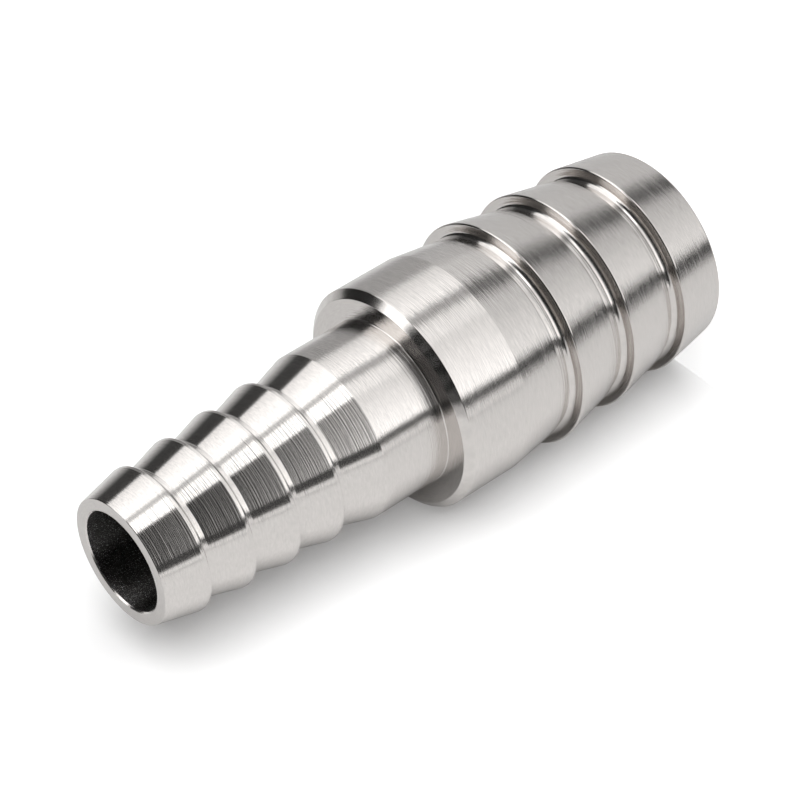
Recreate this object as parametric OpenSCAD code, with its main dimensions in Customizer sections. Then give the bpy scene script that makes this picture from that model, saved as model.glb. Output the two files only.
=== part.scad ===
// Hose barb reducer, turned from one bar: a small barbed end, a plain neck and body, and a large barbed end.
// It stands on its large end: z = 0 is the large end's face and +z runs along the axis to the small end.
// All lengths are in millimetres.

/* [Large barbed end] */
// Number of barbs on the large end
large_barbs = 3; // [1:1:5]
// Diameter of the end barb at the large end's face
large_end_d = 18.3; // [17.6:0.1:19.5]
// Distance from the large end's face to its first crest
large_lead = 5.1; // [4:0.1:8]
// Distance from one large crest to the next
large_pitch = 6.4; // [5:0.1:9]
// Diameter of the large crest nearest the end face
large_crest_d = 19.95; // [19.6:0.05:22]
// How much each further large crest gains in diameter
large_crest_gain = 0.6; // [0:0.02:1]
// Diameter of the edge across the groove from the large crest nearest the end face
large_edge_d = 18.6; // [18.2:0.1:19.2]
// How much each further edge gains in diameter
large_edge_gain = 0.38; // [0.2:0.02:0.6]
// Diameter at the bottom of the groove behind the large crest nearest the end face
large_groove_d = 17.4; // [16.8:0.1:18]
// How much each further groove gains in diameter
large_groove_gain = 0.6; // [0.2:0.02:0.6]
// Width of the groove behind each large crest
large_groove_width = 1.4; // [0.8:0.1:2]
// Radius of the hollow corner where a groove meets the face of its crest
large_groove_fillet = 0.7; // [0.1:0.05:0.8]
// Radius of the rounded edge of each large crest
large_crest_round = 0.15; // [0.05:0.01:0.3]
// Radius of the rounded edge of the large end's face
large_end_round = 0.3; // [0.05:0.05:0.6]

/* [Body] */
// Diameter of the plain body
body_d = 20.6; // [20:0.1:24]
// Length of the plain body
body_length = 6.85; // [4:0.05:20]
// Length of the taper between the body and the large barbs
taper_length = 5.9; // [4:0.1:12]
// How far the bevel of the shoulder's rim reaches inward
rim_bevel_in = 0.7; // [0.2:0.05:1.2]
// How far the bevel of the shoulder's rim reaches along the body
rim_bevel_along = 0.6; // [0.2:0.05:1.5]
// Radius of the small rounded edges of the grooves, the rim and the body
edge_round = 0.08; // [0.02:0.01:0.2]

/* [Neck] */
// Diameter of the plain neck
neck_d = 15.4; // [15.2:0.1:17.5]
// Length of the plain neck
neck_length = 6.55; // [4:0.05:20]
// Radius of the hollow corner between the neck and the shoulder
neck_fillet = 0.1; // [0.1:0.05:1]
// Length of the cone that rises from the last small crest to the neck
neck_cone = 4.5; // [3:0.1:8]

/* [Small barbed end] */
// Number of barbs on the small end
small_barbs = 4; // [1:1:4]
// Diameter of the small end at its face
small_tip_d = 11.5; // [10.8:0.1:12.6]
// Distance from the small end's face to its first crest
small_lead = 4; // [3:0.1:7]
// Distance from one small crest to the next
small_pitch = 4.4; // [3.5:0.1:7]
// Diameter of the small crest nearest the face
small_crest_d = 13.2; // [12.8:0.1:13.6]
// How much each further small crest gains in diameter
small_crest_gain = 0.5; // [0:0.05:0.6]
// Diameter at the foot of the small crest nearest the face
small_root_d = 11.85; // [11:0.05:12.4]
// How much each further small foot gains in diameter
small_root_gain = 0.46; // [0:0.02:0.6]
// Width of the narrow land on top of each small crest
small_crest_land = 0.3; // [0.1:0.05:0.6]
// Length of the steep back of each small crest
small_back = 0.35; // [0.1:0.05:0.8]
// Length of the plain foot between the steep back and the next cone
small_foot = 0.5; // [0.2:0.05:1]
// Radius of the hollow corners at both ends of that foot
small_root_fillet = 0.2; // [0.1:0.05:0.3]
// Radius of the fine rounded edges of the small crests and the tip
small_edge_round = 0.08; // [0.02:0.01:0.12]

/* [Passage] */
// Diameter of the passage in the small end
small_bore_d = 9.1; // [7:0.1:9.8]
// Diameter of the passage in the large end
large_bore_d = 15; // [12:0.1:16]
// Depth of the wide passage from the large end's face
large_bore_depth = 26; // [15:0.5:27]
// Angle between the axis and the step from the wide passage to the narrow one
step_angle = 59; // [45:1:80]
// Width of the bevel at both mouths of the passage
mouth_bevel = 0.15; // [0.05:0.05:0.4]

/* [Hidden] */
steel = [0.74, 0.73, 0.71];
arc_steps = 5;
round_fn = 128;

// Heights of the main sections above the large end's face
body_z = large_lead + (large_barbs - 1) * large_pitch + taper_length;
shoulder_z = body_z + body_length;
neck_top_z = shoulder_z + neck_length;
small_start_z = neck_top_z + neck_cone;
total_z = small_start_z + (small_barbs - 1) * small_pitch + small_lead;
step_length = (large_bore_d - small_bore_d) / 2 / tan(step_angle);

function unit(v) = v / norm(v);
function half_turn(a) = a > 180 ? a - 360 : a < -180 ? a + 360 : a;

// The corner at b, between a and c, as an arc of radius r that touches both edges.
// The arc shrinks where an edge is too short for it.
function corner(a, b, c, r) =
    let (u = unit(a - b), w = unit(c - b), half = acos(u * w) / 2)
    let (reach = min(r / tan(half), 0.45 * norm(a - b), 0.45 * norm(c - b)), radius = reach * tan(half))
    let (middle = b + unit(u + w) * radius / sin(half))
    let (from = b + u * reach - middle, to = b + w * reach - middle)
    let (start = atan2(from.y, from.x), turn = half_turn(atan2(to.y, to.x) - start))
    [for (i = [0 : arc_steps]) middle + radius * [cos(start + turn * i / arc_steps), sin(start + turn * i / arc_steps)]];

// A closed outline from corners written as [radius from the axis, height, corner radius]
function rounded(corners) =
    let (n = len(corners))
    [for (i = [0 : n - 1])
        let (a = corners[(i + n - 1) % n], b = corners[i], c = corners[(i + 1) % n])
        each b[2] > 0 ? corner([a.x, a.y], [b.x, b.y], [c.x, c.y], b[2]) : [[b.x, b.y]]];

// Crest i of the large end, counted from its face, and the groove behind it: the face of the crest looks
// at the small end and runs down into the groove, which undercuts the next cone
function large_crest(i) =
    let (z = large_lead + i * large_pitch, groove_r = (large_groove_d + i * large_groove_gain) / 2)
    [[(large_crest_d + i * large_crest_gain) / 2, z, large_crest_round],
     [groove_r, z, large_groove_fillet],
     [groove_r, z + large_groove_width, edge_round],
     [(large_edge_d + i * large_edge_gain) / 2, z + large_groove_width, edge_round]];

// Crest i of the small end, counted from the tip: the back of the crest looks at the large end
// and stands on a short plain foot
function small_crest(i) =
    let (z = total_z - small_lead - i * small_pitch, crest_r = (small_crest_d + i * small_crest_gain) / 2)
    let (root_r = (small_root_d + i * small_root_gain) / 2)
    [[root_r, z - small_back - small_foot, small_root_fillet],
     [root_r, z - small_back, small_root_fillet],
     [crest_r, z, small_edge_round],
     [crest_r, z + small_crest_land, small_edge_round]];

large_end_corners = concat(
    [[large_end_d / 2, 0, large_end_round]],
    [for (i = [0 : large_barbs - 1]) each large_crest(i)]);

middle_corners = [
    [body_d / 2, body_z, edge_round],
    [body_d / 2, shoulder_z - rim_bevel_along, edge_round],
    [body_d / 2 - rim_bevel_in, shoulder_z, edge_round],
    [neck_d / 2, shoulder_z, neck_fillet],
    [neck_d / 2, neck_top_z, edge_round]];

small_end_corners = concat(
    [for (i = [small_barbs - 1 : -1 : 0]) each small_crest(i)],
    [[small_tip_d / 2, total_z, small_edge_round]]);

passage_corners = [
    [small_bore_d / 2 + mouth_bevel, total_z, 0],
    [small_bore_d / 2, total_z - mouth_bevel, 0],
    [small_bore_d / 2, large_bore_depth + step_length, 0],
    [large_bore_d / 2, large_bore_depth, 0],
    [large_bore_d / 2, mouth_bevel, 0],
    [large_bore_d / 2 + mouth_bevel, 0, 0]];

section = rounded(concat(large_end_corners, middle_corners, small_end_corners, passage_corners));

module reducer_body() {
    color(steel)
        rotate_extrude($fn = round_fn)
            polygon(section);
}

reducer_body();
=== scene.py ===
import math

import bpy
from mathutils import Matrix, Vector


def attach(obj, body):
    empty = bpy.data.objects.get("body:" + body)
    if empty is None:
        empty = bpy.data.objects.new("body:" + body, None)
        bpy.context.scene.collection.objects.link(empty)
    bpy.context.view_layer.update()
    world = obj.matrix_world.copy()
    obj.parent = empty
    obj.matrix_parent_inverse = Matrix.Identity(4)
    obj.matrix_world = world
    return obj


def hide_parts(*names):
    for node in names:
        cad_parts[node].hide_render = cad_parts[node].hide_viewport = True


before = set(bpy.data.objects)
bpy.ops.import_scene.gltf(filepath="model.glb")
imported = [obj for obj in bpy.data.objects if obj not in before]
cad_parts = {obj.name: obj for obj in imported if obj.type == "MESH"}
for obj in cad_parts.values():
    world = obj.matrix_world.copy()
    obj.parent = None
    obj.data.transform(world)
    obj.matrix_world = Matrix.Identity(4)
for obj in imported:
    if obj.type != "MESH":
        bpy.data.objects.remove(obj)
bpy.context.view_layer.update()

# A hose barb reducer of turned steel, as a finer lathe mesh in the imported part's place.
# Sizes are in millimetres as in the part's source; the mesh is made in metres.
MM = 0.001

# Large barbed end
LARGE_BARBS = 3
LARGE_END_D = 18.3
LARGE_LEAD = 5.1
LARGE_PITCH = 6.4
LARGE_CREST_D = 19.95
LARGE_CREST_GAIN = 0.6
LARGE_EDGE_D = 18.6
LARGE_EDGE_GAIN = 0.38
LARGE_GROOVE_D = 17.4
LARGE_GROOVE_GAIN = 0.6
LARGE_GROOVE_WIDTH = 1.4
LARGE_GROOVE_FILLET = 0.7
LARGE_CREST_ROUND = 0.15
LARGE_END_ROUND = 0.3

# Body
BODY_D = 20.6
BODY_LENGTH = 6.85
TAPER_LENGTH = 5.9
RIM_BEVEL_IN = 0.7
RIM_BEVEL_ALONG = 0.6
EDGE_ROUND = 0.08

# Neck
NECK_D = 15.4
NECK_LENGTH = 6.55
NECK_FILLET = 0.1
NECK_CONE = 4.5

# Small barbed end
SMALL_BARBS = 4
SMALL_TIP_D = 11.5
SMALL_LEAD = 4.0
SMALL_PITCH = 4.4
SMALL_CREST_D = 13.2
SMALL_CREST_GAIN = 0.5
SMALL_ROOT_D = 11.85
SMALL_ROOT_GAIN = 0.46
SMALL_CREST_LAND = 0.3
SMALL_BACK = 0.35
SMALL_FOOT = 0.5
SMALL_ROOT_FILLET = 0.2
SMALL_EDGE_ROUND = 0.08

# Passage
SMALL_BORE_D = 9.1
LARGE_BORE_D = 15.0
LARGE_BORE_DEPTH = 26.0
STEP_ANGLE = 59.0
MOUTH_BEVEL = 0.15
PASSAGE_ROUND = 0.06

# Heights of the main sections above the large end's face
BODY_Z = LARGE_LEAD + (LARGE_BARBS - 1) * LARGE_PITCH + TAPER_LENGTH
SHOULDER_Z = BODY_Z + BODY_LENGTH
NECK_TOP_Z = SHOULDER_Z + NECK_LENGTH
SMALL_START_Z = NECK_TOP_Z + NECK_CONE
TOTAL_Z = SMALL_START_Z + (SMALL_BARBS - 1) * SMALL_PITCH + SMALL_LEAD

# Fineness of the mesh, and the share of an edge that one rounded corner may take
ARC_STEPS = 6
SEGMENTS = 288
CORNER_SHARE = 0.45


def corner_arc(before, at, after, radius):
    """Points and outward normals of a rounded corner; the outline runs anticlockwise in (radius, height)."""
    u = (before - at).normalized()
    w = (after - at).normalized()
    half = math.acos(max(-1, min(1, u.dot(w)))) / 2
    shorter = min((before - at).length, (after - at).length)
    reach = min(radius / math.tan(half), CORNER_SHARE * shorter)
    size = reach * math.tan(half)
    middle = at + (u + w).normalized() * size / math.sin(half)
    start = at + u * reach - middle
    end = at + w * reach - middle
    turn = math.atan2(start.x * end.y - start.y * end.x, start.dot(end))
    outward = 1 if turn > 0 else -1
    arc = []
    for i in range(ARC_STEPS + 1):
        spoke = Matrix.Rotation(turn * i / ARC_STEPS, 2) @ start
        arc.append((middle + spoke, spoke.normalized() * outward))
    return arc


def rounded_outline(corners):
    """The closed outline as (point, normal) pairs, from corners as (radius, height, corner radius)."""
    points = [Vector(c[:2]) for c in corners]
    outline = []
    for i, (_, _, radius) in enumerate(corners):
        outline += corner_arc(points[i - 1], points[i], points[(i + 1) % len(points)], radius)
    return outline


def reducer_corners():
    """The reducer's whole section: up its outside from the large end's face, and down the passage."""
    corners = [(LARGE_END_D / 2, 0, LARGE_END_ROUND)]
    for i in range(LARGE_BARBS):
        z = LARGE_LEAD + i * LARGE_PITCH
        groove_r = (LARGE_GROOVE_D + i * LARGE_GROOVE_GAIN) / 2
        corners += [
            ((LARGE_CREST_D + i * LARGE_CREST_GAIN) / 2, z, LARGE_CREST_ROUND),
            (groove_r, z, LARGE_GROOVE_FILLET),
            (groove_r, z + LARGE_GROOVE_WIDTH, EDGE_ROUND),
            ((LARGE_EDGE_D + i * LARGE_EDGE_GAIN) / 2, z + LARGE_GROOVE_WIDTH, EDGE_ROUND)]
    corners += [
        (BODY_D / 2, BODY_Z, EDGE_ROUND),
        (BODY_D / 2, SHOULDER_Z - RIM_BEVEL_ALONG, EDGE_ROUND),
        (BODY_D / 2 - RIM_BEVEL_IN, SHOULDER_Z, EDGE_ROUND),
        (NECK_D / 2, SHOULDER_Z, NECK_FILLET),
        (NECK_D / 2, NECK_TOP_Z, EDGE_ROUND)]
    for i in reversed(range(SMALL_BARBS)):
        z = TOTAL_Z - SMALL_LEAD - i * SMALL_PITCH
        crest_r = (SMALL_CREST_D + i * SMALL_CREST_GAIN) / 2
        root_r = (SMALL_ROOT_D + i * SMALL_ROOT_GAIN) / 2
        corners += [
            (root_r, z - SMALL_BACK - SMALL_FOOT, SMALL_ROOT_FILLET),
            (root_r, z - SMALL_BACK, SMALL_ROOT_FILLET),
            (crest_r, z, SMALL_EDGE_ROUND),
            (crest_r, z + SMALL_CREST_LAND, SMALL_EDGE_ROUND)]
    step_length = (LARGE_BORE_D - SMALL_BORE_D) / 2 / math.tan(math.radians(STEP_ANGLE))
    return corners + [
        (SMALL_TIP_D / 2, TOTAL_Z, SMALL_EDGE_ROUND),
        (SMALL_BORE_D / 2 + MOUTH_BEVEL, TOTAL_Z, PASSAGE_ROUND),
        (SMALL_BORE_D / 2, TOTAL_Z - MOUTH_BEVEL, PASSAGE_ROUND),
        (SMALL_BORE_D / 2, LARGE_BORE_DEPTH + step_length, PASSAGE_ROUND),
        (LARGE_BORE_D / 2, LARGE_BORE_DEPTH, PASSAGE_ROUND),
        (LARGE_BORE_D / 2, MOUTH_BEVEL, PASSAGE_ROUND),
        (LARGE_BORE_D / 2 + MOUTH_BEVEL, 0, PASSAGE_ROUND)]


def lathe(name, outline):
    """Turns a closed outline around Z, with the outline's own normals kept at each vertex."""
    rings = len(outline)
    verts, normals, faces = [], [], []
    for point, normal in outline:
        for j in range(SEGMENTS):
            angle = 2 * math.pi * j / SEGMENTS
            c, s = math.cos(angle), math.sin(angle)
            verts.append((point.x * c * MM, point.x * s * MM, point.y * MM))
            normals.append((normal.x * c, normal.x * s, normal.y))
    for i in range(rings):
        this, above = i * SEGMENTS, (i + 1) % rings * SEGMENTS
        for j in range(SEGMENTS):
            k = (j + 1) % SEGMENTS
            faces.append((this + j, this + k, above + k, above + j))
    mesh = bpy.data.meshes.new(name)
    mesh.from_pydata(verts, [], faces)
    mesh.update()
    mesh.shade_smooth()
    mesh.normals_split_custom_set_from_vertices(normals)
    piece = bpy.data.objects.new(name, mesh)
    bpy.context.scene.collection.objects.link(piece)
    return piece


class Nodes:
    """A material's or world's node tree, with short calls for nodes and links."""

    def __init__(self, tree):
        self.tree = tree
        tree.nodes.clear()

    def add(self, kind, **values):
        node = self.tree.nodes.new(kind)
        for key, value in values.items():
            setattr(node, key, value)
        return node

    def link(self, source, target):
        self.tree.links.new(source, target)

    def split(self, vector):
        node = self.add("ShaderNodeSeparateXYZ")
        self.link(vector, node.inputs[0])
        return node.outputs

    def math(self, operation, a, b=None):
        node = self.add("ShaderNodeMath", operation=operation)
        for socket, value in zip(node.inputs, (a, b)):
            if isinstance(value, (int, float)):
                socket.default_value = value
            elif value is not None:
                self.link(value, socket)
        return node.outputs[0]

    def matt(self, tone):
        node = self.add("ShaderNodeBsdfDiffuse")
        node.inputs["Color"].default_value = (tone, tone, tone, 1)
        return node.outputs[0]


def new_material(name):
    material = bpy.data.materials.new(name)
    material.use_nodes = True
    return material, Nodes(material.node_tree)


# Turned steel: its tone, how far its lines spread a reflection, and its roughness
STEEL_TONE = (0.79, 0.758, 0.733)
REFLECTION_SPREAD = 0.8
QUARTER_TURN = 0.25
TURNED_ROUGHNESS = 0.18

# Turning lines in relief
LINES_PER_METRE = 12000.0
LINE_BREAKS = 1.0
LINE_DETAIL = 1
LINE_STRENGTH = 0.18
LINE_DEPTH = 0.1 * MM

# Grain in the tone
GRAIN_PER_METRE = 11000.0
GRAIN_BREAKS = 12.0
GRAIN_DETAIL = 2
GRAIN_TONE = 0.3

# Faces that look up along the axis, from this tilt of the normal on
FACE_FROM = 0.7
FACE_TONE = 0.85
FACE_ROUGHNESS = 0.12

# Bored wall of the passage, where the normal points at the axis; its dark tone is painted shade, and its
# light specks are painted glints
BORED_BELOW = -0.85
BORE_SHADE_TONE = 0.22
BORED_ROUGHNESS = 0.35
GLINTS_PER_METRE = 13000.0
GLINT_FROM = 0.62
GLINT_TONE = 1.2


def ring_noise(n, x, y, z, radius, per_metre, breaks, detail):
    """Noise in fine rings around the axis, each ring broken into streaks."""
    ring = n.add("ShaderNodeCombineXYZ")
    n.link(n.math("MULTIPLY", n.math("ADD", z, radius), per_metre), ring.inputs[0])
    n.link(n.math("MULTIPLY", n.math("DIVIDE", x, radius), breaks), ring.inputs[1])
    n.link(n.math("MULTIPLY", n.math("DIVIDE", y, radius), breaks), ring.inputs[2])
    noise = n.add("ShaderNodeTexNoise")
    n.link(ring.outputs[0], noise.inputs["Vector"])
    noise.inputs["Scale"].default_value = 1
    noise.inputs["Detail"].default_value = detail
    return noise.outputs[0]


def faced(n, normal_z, around, faces):
    """A value for the surfaces around the axis, which turns into another on faces that look up along it."""
    ramp = n.add("ShaderNodeMapRange")
    n.link(normal_z, ramp.inputs["Value"])
    for name, value in (("From Min", FACE_FROM), ("From Max", 1.0), ("To Min", around), ("To Max", faces)):
        ramp.inputs[name].default_value = value
    return ramp.outputs[0]


def bore_shade_and_glints(n, place):
    """The passage wall's tone: darkened with painted shade, with a few painted glints."""
    glints = n.add("ShaderNodeTexNoise")
    n.link(place, glints.inputs["Vector"])
    glints.inputs["Scale"].default_value = GLINTS_PER_METRE
    # Painted glints: light dots where the noise rises past a threshold
    light = n.math("GREATER_THAN", glints.outputs[0], GLINT_FROM)
    return n.math("ADD", BORE_SHADE_TONE, n.math("MULTIPLY", light, GLINT_TONE))


def turned_steel():
    """Steel with fine circular turning lines, which spread a reflection along the axis."""
    material, n = new_material("turned_steel")
    steel = n.add("ShaderNodeBsdfPrincipled")
    n.link(steel.outputs[0], n.add("ShaderNodeOutputMaterial").inputs["Surface"])
    steel.inputs["Metallic"].default_value = 1
    steel.inputs["Anisotropic"].default_value = REFLECTION_SPREAD
    steel.inputs["Anisotropic Rotation"].default_value = QUARTER_TURN
    tangent = n.add("ShaderNodeTangent", direction_type="RADIAL", axis="Z")
    n.link(tangent.outputs[0], steel.inputs["Tangent"])
    place = n.add("ShaderNodeTexCoord")
    x, y, z = n.split(place.outputs["Object"])
    normal_x, normal_y, normal_z = n.split(place.outputs["Normal"])
    radius = n.math("SQRT", n.math("ADD", n.math("MULTIPLY", x, x), n.math("MULTIPLY", y, y)))
    bump = n.add("ShaderNodeBump")
    bump.inputs["Strength"].default_value = LINE_STRENGTH
    bump.inputs["Distance"].default_value = LINE_DEPTH
    lines = ring_noise(n, x, y, z, radius, LINES_PER_METRE, LINE_BREAKS, LINE_DETAIL)
    n.link(lines, bump.inputs["Height"])
    n.link(bump.outputs[0], steel.inputs["Normal"])

    # The passage looks at the axis: its bored wall is rougher than the turned outside, and its darker tone
    # is painted shade
    away = n.math("ADD", n.math("MULTIPLY", x, normal_x), n.math("MULTIPLY", y, normal_y))
    inside = n.math("LESS_THAN", n.math("DIVIDE", away, radius), BORED_BELOW)
    outside = faced(n, normal_z, TURNED_ROUGHNESS, FACE_ROUGHNESS)
    rough = n.math("ADD", outside, n.math("MULTIPLY", inside, BORED_ROUGHNESS - TURNED_ROUGHNESS))
    n.link(rough, steel.inputs["Roughness"])
    grain = ring_noise(n, x, y, z, radius, GRAIN_PER_METRE, GRAIN_BREAKS, GRAIN_DETAIL)
    grained = n.math("ADD", 1 - GRAIN_TONE / 2, n.math("MULTIPLY", grain, GRAIN_TONE))
    turned = n.math("MULTIPLY", grained, faced(n, normal_z, 1.0, FACE_TONE))
    # Painted shade and painted glints on the passage wall, the grained turned tone elsewhere
    tone = n.math("ADD", n.math("MULTIPLY", inside, bore_shade_and_glints(n, place.outputs["Object"])),
                  n.math("MULTIPLY", n.math("SUBTRACT", 1.0, inside), turned))
    colour = n.add("ShaderNodeVectorMath", operation="SCALE")
    colour.inputs[0].default_value = STEEL_TONE
    n.link(tone, colour.inputs["Scale"])
    n.link(colour.outputs[0], steel.inputs["Base Color"])
    return material


reducer = lathe("reducer", rounded_outline(reducer_corners()))
reducer.data.materials.append(turned_steel())
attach(reducer, "root")
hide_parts("reducer_body")

# Camera: the photo's viewing direction, rolled so that the axis runs up to the right
CAMERA_AT = Vector((0, -225.11, 154.16)) * MM
CAMERA_BACK = Vector((0.0017, -0.8748, 0.4845))
CAMERA_RIGHT = Vector((-0.5167, -0.4156, -0.7486))
CLIP_START = 10 * MM
LENS_MM = 137.46
SENSOR_MM = 36


def add_camera():
    data = bpy.data.cameras.new("camera")
    data.lens = LENS_MM
    data.sensor_width = SENSOR_MM
    data.clip_start = CLIP_START
    camera = bpy.data.objects.new("camera", data)
    back = CAMERA_BACK.normalized()
    up = back.cross(CAMERA_RIGHT).normalized()
    right = up.cross(back)
    camera.matrix_world = Matrix.Translation(CAMERA_AT) @ Matrix((right, up, back)).transposed().to_4x4()
    bpy.context.scene.collection.objects.link(camera)
    bpy.context.scene.camera = camera


add_camera()

# Stage: a pale floor under the part, and a pale upright board behind it, which takes its soft shadow.
# The part's reflections show a smaller and greyer board in the same place.
UP = Vector((0, 0, 1))
BOARD_NORMAL = Vector((0.6266, -0.7794, 0))
BOARD_ALONG = Vector((0.7794, 0.6266, 0))
BOARD_OFF = 10.6 * MM
BOARD_SIDE = 45 * MM
BOARD_TOP = 100 * MM
STAGE_HALF = 1.5
PAPER_TONE = 0.8
FLOOR_GLOW = 0.76
BOARD_GLOW = 0.14
GREY_TONE = 0.54


def stage_plane(name, first, side, other_side, material):
    """A rectangle from its first corner and two sides; it faces where the sides turn anticlockwise."""
    corners = [first, first + side, first + side + other_side, first + other_side]
    mesh = bpy.data.meshes.new(name)
    mesh.from_pydata(corners, [], [(0, 1, 2, 3)])
    mesh.materials.append(material)
    plane = bpy.data.objects.new(name, mesh)
    bpy.context.scene.collection.objects.link(plane)
    return plane


def stage_paper(name, tone, glow):
    """Matt paper, clear from behind, whose glow keeps it white for the camera where no shadow falls."""
    material, n = new_material(name)
    light = n.add("ShaderNodeEmission")
    path = n.add("ShaderNodeLightPath")
    n.link(n.math("MULTIPLY", path.outputs["Is Camera Ray"], glow), light.inputs["Strength"])
    both = n.add("ShaderNodeAddShader")
    n.link(n.matt(tone), both.inputs[0])
    n.link(light.outputs[0], both.inputs[1])
    clear = n.add("ShaderNodeBsdfTransparent")
    side = n.add("ShaderNodeMixShader")
    n.link(n.add("ShaderNodeNewGeometry").outputs["Backfacing"], side.inputs[0])
    n.link(both.outputs[0], side.inputs[1])
    n.link(clear.outputs[0], side.inputs[2])
    n.link(side.outputs[0], n.add("ShaderNodeOutputMaterial").inputs["Surface"])
    return material


def add_stage():
    whole = 2 * STAGE_HALF
    floor = stage_plane("floor", Vector((-STAGE_HALF, -STAGE_HALF, 0)), Vector((whole, 0, 0)),
                        Vector((0, whole, 0)), stage_paper("floor_paper", PAPER_TONE, FLOOR_GLOW))
    corner = -BOARD_NORMAL * BOARD_OFF - (BOARD_ALONG + UP) * STAGE_HALF
    board = stage_plane("board", corner, BOARD_ALONG * whole, UP * whole,
                        stage_paper("board_paper", PAPER_TONE, BOARD_GLOW))
    grey_board = stage_plane("grey_board", corner, BOARD_ALONG * (STAGE_HALF + BOARD_SIDE),
                             UP * (STAGE_HALF + BOARD_TOP), stage_paper("grey_paper", GREY_TONE, 0))
    for plane in (floor, board):
        plane.visible_glossy = False
    for plane in (floor, board, grey_board):
        plane.visible_diffuse = False
        plane.visible_shadow = False
    grey_board.visible_camera = False


add_stage()

# Studio cards: curved panels on a dome around the part that only its reflections show.
# Each is (first and last azimuth from the camera's side, low and high elevation, light at the first
# and at the last azimuth). A dim card and a dark one stand near the part on the camera's side.
CAMERA_AZIMUTH = -90
MIDDLE_Z = TOTAL_Z / 2 * MM
CARD_STEPS = 12
CARD_RADIUS = 0.5
CARDS = {
    "ceiling": (-180, 180, 65, 90, 0.01, 0.01),
    "board_high": (-180, -54, 15, 65, 0.60, 0.60),
    "board_end": (-54, -46, -12, 15, 0.90, 0.90),
    "board_end_mid": (-54, -43, -37, -12, 0.90, 0.90),
    "slit": (-46, -33, -12, 15, 0.05, 0.05),
    "slit_mid": (-43, -33, -37, -12, 0.10, 0.10),
    "slit_low": (-54, -34, -90, -37, 0.04, 0.04),
    "fill": (-33, 24, -37, 15, 1.46, 0.92),
    "fill_low": (-34, 44, -90, -37, 0.92, 0.50),
    "camera_dark": (-54, 60, 15, 65, 0.01, 0.01),
    "camera_high": (60, 70, 45, 65, 0.01, 0.01),
    "camera_dark_low": (24, 45, 12, 15, 0.01, 0.01),
    "soft_near": (24, 45, -12, 12, 1.95, 1.95),
    "soft_near_mid": (24, 45, -37, -12, 1.10, 1.10),
    "soft_seam": (45, 53, -12, 15, 0.70, 0.70),
    "soft_seam_mid": (45, 57, -37, -12, 0.50, 0.50),
    "soft_far": (53, 97, -12, 15, 1.60, 1.00),
    "soft_far_mid": (57, 97, -37, -12, 1.40, 0.80),
    "soft_top": (60, 100, 15, 45, 1.60, 1.20),
    "soft_high": (70, 115, 45, 65, 1.90, 1.90),
    "gap_low": (44, 70, -90, -37, 0.08, 0.08),
    "soft_low": (70, 180, -90, -37, 0.54, 0.62),
    "flag": (97, 122, -20, 15, 0.04, 0.05),
    "flag_end": (122, 144, -20, 15, 0.03, 0.60),
    "flag_mid": (97, 144, -37, -20, 0.40, 0.40),
    "flag_top": (100, 180, 15, 45, 0.02, 0.02),
    "flag_high": (115, 180, 45, 65, 0.02, 0.02),
    "board_side": (144, 180, -12, 15, 0.60, 0.95),
    "board_side_mid": (144, 180, -37, -12, 0.60, 0.85),
}
NEAR_RADIUS = 0.08
NEAR_CARDS = {
    "near_low": (-33, 24, 5.5, 18, 0.40, 0.21),
    "near_high": (-33, 24, 18, 60, 0.01, 0.01),
}


def only_reflected(card):
    card.visible_camera = False
    card.visible_diffuse = False
    card.visible_shadow = False
    card.visible_transmission = False


def on_dome(dome, azimuth, elevation):
    """A point on the dome of this radius around the part's middle."""
    a = math.radians(CAMERA_AZIMUTH + azimuth)
    e = math.radians(elevation)
    return (dome * math.cos(e) * math.cos(a),
            dome * math.cos(e) * math.sin(a),
            dome * math.sin(e) + MIDDLE_Z)


def card_light():
    """Plain light as strong as the card's own "light" value at each place."""
    material, n = new_material("studio_card")
    light = n.add("ShaderNodeEmission")
    value = n.add("ShaderNodeAttribute", attribute_name="light")
    n.link(value.outputs["Fac"], light.inputs["Strength"])
    n.link(light.outputs[0], n.add("ShaderNodeOutputMaterial").inputs["Surface"])
    return material


def studio_card(name, material, dome, first, last, low, high, light, light_end):
    verts, lights, faces = [], [], []
    for i in range(CARD_STEPS + 1):
        azimuth = first + (last - first) * i / CARD_STEPS
        for j in range(CARD_STEPS + 1):
            elevation = low + (high - low) * j / CARD_STEPS
            verts.append(on_dome(dome, azimuth, elevation))
            lights.append(light + (light_end - light) * i / CARD_STEPS)
    for i in range(CARD_STEPS):
        for j in range(CARD_STEPS):
            corner = i * (CARD_STEPS + 1) + j
            faces.append((corner, corner + 1, corner + CARD_STEPS + 2, corner + CARD_STEPS + 1))
    mesh = bpy.data.meshes.new(name)
    mesh.from_pydata(verts, [], faces)
    mesh.attributes.new("light", "FLOAT", "POINT").data.foreach_set("value", lights)
    mesh.materials.append(material)
    card = bpy.data.objects.new(name, mesh)
    bpy.context.scene.collection.objects.link(card)
    only_reflected(card)


card_paper = card_light()
for dome_radius, cards in ((CARD_RADIUS, CARDS), (NEAR_RADIUS, NEAR_CARDS)):
    for card_name, card_values in cards.items():
        studio_card(card_name, card_paper, dome_radius, *card_values)

# Passage shade: the unlit patch of floor under the large bore
SHADE_SIDE = LARGE_BORE_D * 0.7 * MM
SHADE_HEIGHT = 0.02 * MM
SHADE_TONE = 0.06


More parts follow.
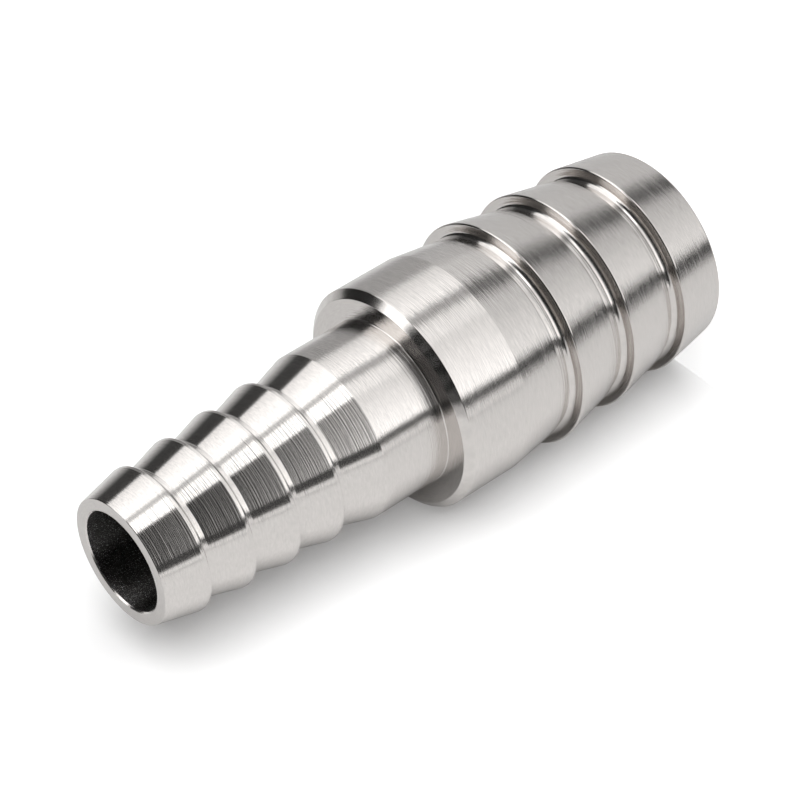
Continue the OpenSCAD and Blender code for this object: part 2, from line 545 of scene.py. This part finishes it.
def add_passage_shade():
    material, n = new_material("passage_dark")
    n.link(n.matt(SHADE_TONE), n.add("ShaderNodeOutputMaterial").inputs["Surface"])
    corner = Vector((-SHADE_SIDE / 2, -SHADE_SIDE / 2, SHADE_HEIGHT))
    only_reflected(stage_plane("passage_shade", corner, Vector((SHADE_SIDE, 0, 0)),
                               Vector((0, SHADE_SIDE, 0)), material))


add_passage_shade()

# Light: a sky that is white for the camera and in reflections but dim on matt surfaces, and one soft lamp
DIM_SKY = 0.1
LAMP_AT = Vector((0.19, -0.34, 0.1))
LAMP_WIDTH = 0.46
LAMP_HEIGHT = 0.6
LAMP_POWER = 3.45


def add_world():
    world = bpy.data.worlds.new("studio")
    world.use_nodes = True
    bpy.context.scene.world = world
    n = Nodes(world.node_tree)
    sky = n.add("ShaderNodeBackground")
    sky.inputs["Color"].default_value = (1, 1, 1, 1)
    sky.inputs["Strength"].default_value = 1
    path = n.add("ShaderNodeLightPath")
    plain = n.add("ShaderNodeBackground")
    plain.inputs["Strength"].default_value = DIM_SKY
    seen = n.math("MAXIMUM", path.outputs["Is Camera Ray"],
                  n.math("MAXIMUM", path.outputs["Is Glossy Ray"], path.outputs["Is Transmission Ray"]))
    mix = n.add("ShaderNodeMixShader")
    n.link(seen, mix.inputs[0])
    n.link(plain.outputs[0], mix.inputs[1])
    n.link(sky.outputs[0], mix.inputs[2])
    n.link(mix.outputs[0], n.add("ShaderNodeOutputWorld").inputs["Surface"])


def add_lamp():
    """One large soft lamp in front of the board, which throws the part's soft shadow on it."""
    data = bpy.data.lights.new("softbox", "AREA")
    data.shape = "RECTANGLE"
    data.size = LAMP_WIDTH
    data.size_y = LAMP_HEIGHT
    data.energy = LAMP_POWER
    lamp = bpy.data.objects.new("softbox", data)
    lamp.location = LAMP_AT
    aim = lamp.location - Vector((0, 0, MIDDLE_Z))
    lamp.rotation_euler = aim.to_track_quat("Z", "Y").to_euler()
    lamp.visible_glossy = False
    lamp.visible_camera = False
    bpy.context.scene.collection.objects.link(lamp)


add_world()
add_lamp()
bpy.context.scene.view_settings.view_transform = "Standard"
